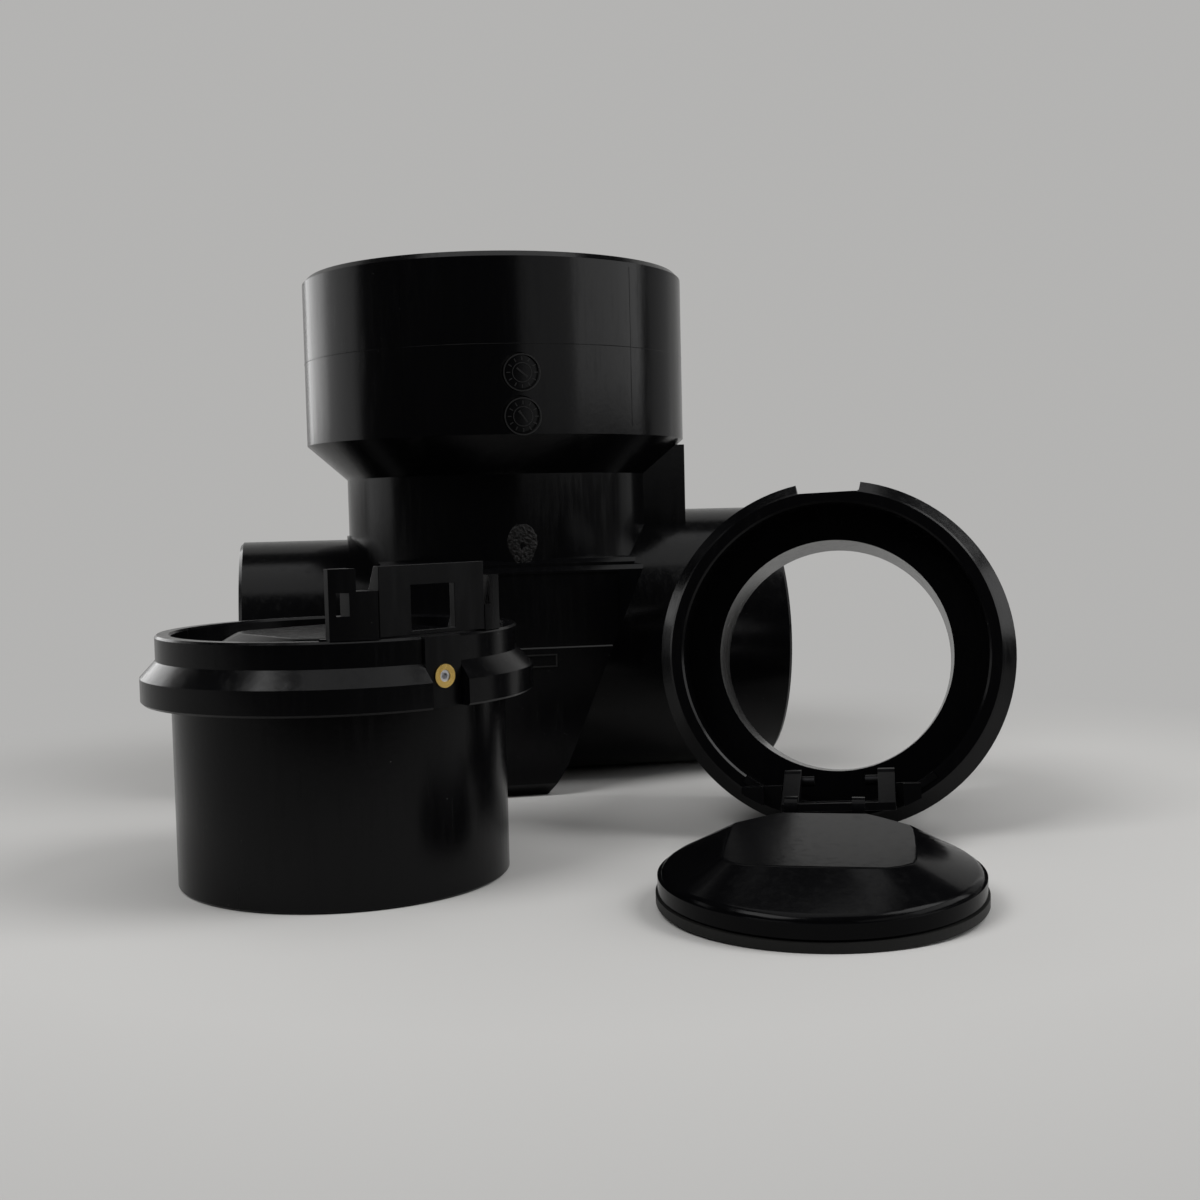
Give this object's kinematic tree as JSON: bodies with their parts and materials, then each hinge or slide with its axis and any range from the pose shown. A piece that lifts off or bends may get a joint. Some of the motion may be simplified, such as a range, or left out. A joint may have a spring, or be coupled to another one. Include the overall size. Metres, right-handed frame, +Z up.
{
  "type": "backwater valve",
  "caption": "Black moulded drain backwater valve with a wide riser socket, an inlet hub and an outlet spigot, and lift-out flapper cartridges standing beside it.",
  "frame": {"origin": "on the riser axis, at the underside of the sump", "axes": "+Z up along the riser, +X along the run towards the inlet hub, -Y towards the flat front with the cartridges"},
  "size_m": [0.3511, 0.4409, 0.247],
  "materials": {
    "body_plastic": "glossy moulded black with faint flow marks",
    "cartridge_plastic": "glossy moulded black",
    "seal_rubber": "satin black rubber",
    "pin_steel": "plain bright steel",
    "insert_brass": "bright turned brass"
  },
  "bodies": {
    "body": {"valve_body": "body_plastic", "neck_seal_ring": "seal_rubber"},
    "left_cartridge": {"left_sleeve": "cartridge_plastic", "left_hinge_carrier": "cartridge_plastic", "left_lift_frame": "cartridge_plastic", "left_hinge_pins": "pin_steel", "left_brass_insert": "insert_brass", "left_set_screw": "pin_steel"},
    "left_flapper": {"left_flap_dome": "cartridge_plastic", "left_flap_base": "cartridge_plastic", "left_flap_gasket": "seal_rubber"},
    "right_cartridge": {"right_sleeve": "cartridge_plastic", "right_hinge_carrier": "cartridge_plastic", "right_lift_frame": "cartridge_plastic", "right_hinge_pins": "pin_steel", "right_brass_insert": "insert_brass", "right_set_screw": "pin_steel"},
    "right_flapper": {"right_flap_dome": "cartridge_plastic", "right_flap_base": "cartridge_plastic", "right_flap_gasket": "seal_rubber"}
  },
  "joints": [
    {"name": "left_lift", "type": "slide", "parent": "body", "child": "left_cartridge", "axis": [0, 0, 1], "range_m": [0, 0.3]},
    {"name": "left_flap_hinge", "type": "hinge", "parent": "left_cartridge", "child": "left_flapper", "pos_m": [-0.05797, -0.24401, 0.0872], "axis": [0.8616, 0.5075, 0], "range_deg": [0, 75]},
    {"name": "right_lift", "type": "slide", "parent": "body", "child": "right_cartridge", "axis": [0, 0, 1], "range_m": [0, 0.3]},
    {"name": "right_flap_lift", "type": "slide", "parent": "body", "child": "right_flapper", "axis": [0, 0, 1], "range_m": [0, 0.3]}
  ]
}
